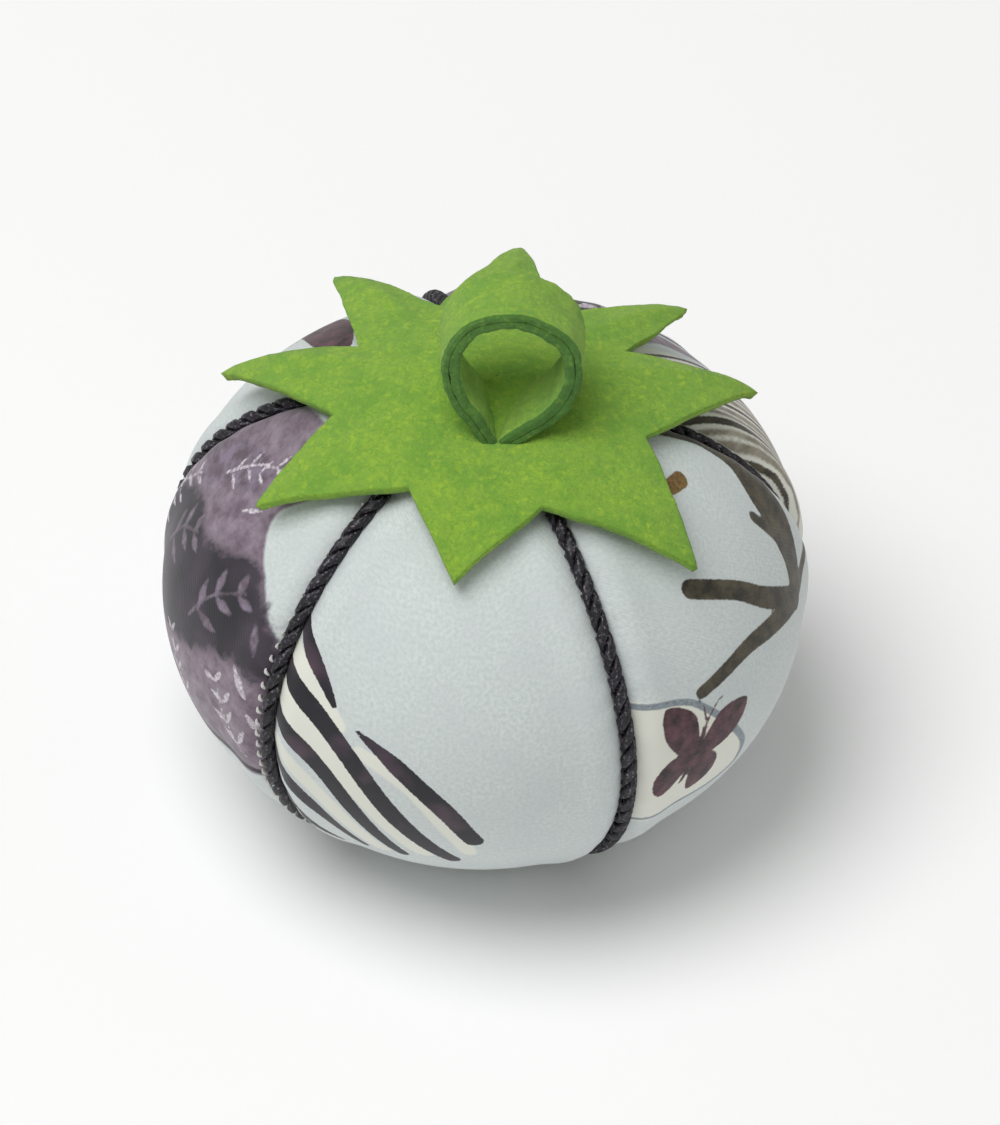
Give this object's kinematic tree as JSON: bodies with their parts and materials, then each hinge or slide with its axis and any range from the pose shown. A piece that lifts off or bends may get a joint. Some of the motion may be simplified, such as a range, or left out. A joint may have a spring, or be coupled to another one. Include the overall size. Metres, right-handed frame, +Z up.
{
  "type": "pin cushion",
  "caption": "Round stuffed pin cushion in the shape of a tomato, with corded fabric gores, a felt leaf star on top and a folded felt stem loop.",
  "frame": {"origin": "centre of the felt patch's underside, the face that the cushion rests on", "axes": "+Z up through the stem, -Y the front, +X to the right seen from the front"},
  "size_m": [0.0704, 0.0702, 0.0704],
  "materials": {
    "printed_cotton": "printed sateen, satin",
    "twisted_cord": "two-ply twisted, satin",
    "green_felt": "felt, matt",
    "white_thread": "spun thread",
    "green_thread": "spun thread",
    "stuffing": "carded fibre",
    "twine": "waxed twine"
  },
  "bodies": {
    "root": {"gore_panel_front": "printed_cotton", "gore_panel_front_right": "printed_cotton", "gore_panel_back_right": "printed_cotton", "gore_panel_back": "printed_cotton", "gore_panel_back_left": "printed_cotton", "gore_panel_front_left": "printed_cotton", "seam_cord_front_left": "twisted_cord", "seam_cord_front_right": "twisted_cord", "seam_cord_right": "twisted_cord", "seam_cord_back_right": "twisted_cord", "seam_cord_back_left": "twisted_cord", "seam_cord_left": "twisted_cord", "cord_stitches_front_left": "white_thread", "cord_stitches_front_right": "white_thread", "cord_stitches_right": "white_thread", "cord_stitches_back_right": "white_thread", "cord_stitches_back_left": "white_thread", "cord_stitches_left": "white_thread", "filling": "stuffing", "centre_tie": "twine", "base_patch": "green_felt", "patch_stitches": "green_thread", "leaf_star": "green_felt", "stem_loop": "green_felt", "stem_stitches": "green_thread"}
  },
  "joints": []
}
